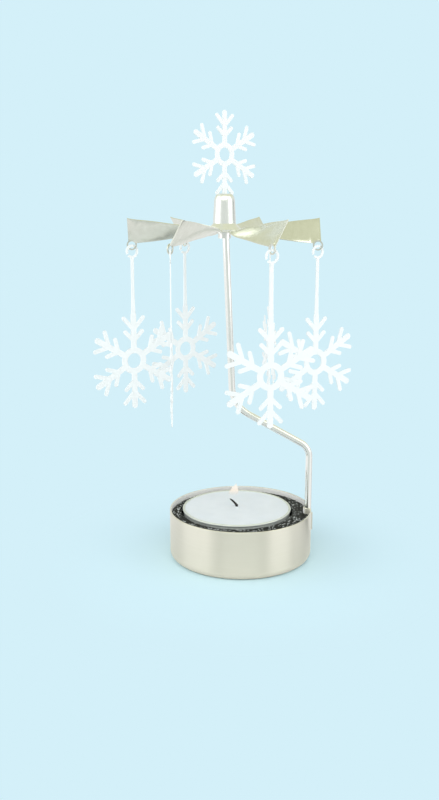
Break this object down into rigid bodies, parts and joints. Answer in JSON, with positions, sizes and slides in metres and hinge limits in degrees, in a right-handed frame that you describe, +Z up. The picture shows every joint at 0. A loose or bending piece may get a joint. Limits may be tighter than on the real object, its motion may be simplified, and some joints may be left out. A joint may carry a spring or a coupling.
{
  "type": "rotary tealight holder",
  "caption": "Rotary tealight holder: a bent wire stands in a metal cup and carries a pitched-blade rotor with hanging snowflakes, turned by the flame's warm air.",
  "frame": {"origin": "middle of the cup's flat underside", "axes": "+Z up, +X towards the foot of the stand wire, +Y to the back of the pictured view"},
  "size_m": [0.0882, 0.0828, 0.152],
  "materials": {
    "cup_steel": "satin plated",
    "liner_black": "fine grained matt black",
    "tealight_aluminium": "bright rolled",
    "candle_wax": "white paraffin wax",
    "wick_cotton": "braided, charred at the tip",
    "tab_tinplate": "tinned",
    "wire_steel": "bright plated",
    "rotor_steel": "semi-bright rolled sheet",
    "hub_steel": "bright plated",
    "pivot_brass": "turned",
    "flake_enamel": "smooth white enamel"
  },
  "bodies": {
    "base": {"cup": "cup_steel", "cup_liner": "liner_black"},
    "tealight": {"tealight_cup": "tealight_aluminium", "tealight_wax": "candle_wax", "wick": "wick_cotton", "wick_tab": "tab_tinplate"},
    "stand": {"stand_wire": "wire_steel"},
    "rotor": {"rotor": "rotor_steel", "hub_cap": "hub_steel", "hub_eyelet": "hub_steel", "pivot_seat": "pivot_brass"},
    "top_figure": {"top_snowflake": "flake_enamel"},
    "pendant_right": {"pendant_right": "flake_enamel"},
    "pendant_back_right": {"pendant_back_right": "flake_enamel"},
    "pendant_back_left": {"pendant_back_left": "flake_enamel"},
    "pendant_left": {"pendant_left": "flake_enamel"},
    "pendant_front_left": {"pendant_front_left": "flake_enamel"},
    "pendant_front_right": {"pendant_front_right": "flake_enamel"}
  },
  "joints": [
    {"name": "tealight_lift", "type": "slide", "parent": "base", "child": "tealight", "axis": [0, 0, 1], "range_m": [0, 0.018]},
    {"name": "stand_lift", "type": "slide", "parent": "base", "child": "stand", "axis": [0, 0, 1], "range_m": [0, 0.012]},
    {"name": "rotor_spin", "type": "hinge", "parent": "stand", "child": "rotor", "pos_m": [-0.0058, 0, 0.12209], "axis": [0, 0, 1], "continuous": true},
    {"name": "top_snowflake_lift", "type": "slide", "parent": "rotor", "child": "top_figure", "axis": [0, 0, 1], "range_m": [0, 0.006]},
    {"name": "pendant_right_swing", "type": "hinge", "parent": "rotor", "child": "pendant_right", "pos_m": [0.02518, -0.00138, 0.10876], "axis": [0.0384, -0.9993, 0], "range_deg": [-8, 25]},
    {"name": "pendant_back_right_swing", "type": "hinge", "parent": "rotor", "child": "pendant_back_right", "pos_m": [0.01088, 0.02614, 0.10876], "axis": [0.8846, -0.4664, 0], "range_deg": [-8, 25]},
    {"name": "pendant_back_left_swing", "type": "hinge", "parent": "rotor", "child": "pendant_back_left", "pos_m": [-0.0201, 0.02751, 0.10876], "axis": [0.8462, 0.5329, 0], "range_deg": [-8, 25]},
    {"name": "pendant_left_swing", "type": "hinge", "parent": "rotor", "child": "pendant_left", "pos_m": [-0.03678, 0.00138, 0.10876], "axis": [-0.0384, 0.9993, 0], "range_deg": [-8, 25]},
    {"name": "pendant_front_left_swing", "type": "hinge", "parent": "rotor", "child": "pendant_front_left", "pos_m": [-0.02248, -0.02614, 0.10876], "axis": [-0.8846, 0.4664, 0], "range_deg": [-8, 25]},
    {"name": "pendant_front_right_swing", "type": "hinge", "parent": "rotor", "child": "pendant_front_right", "pos_m": [0.0085, -0.02751, 0.10876], "axis": [-0.8462, -0.5329, 0], "range_deg": [-8, 25]}
  ]
}
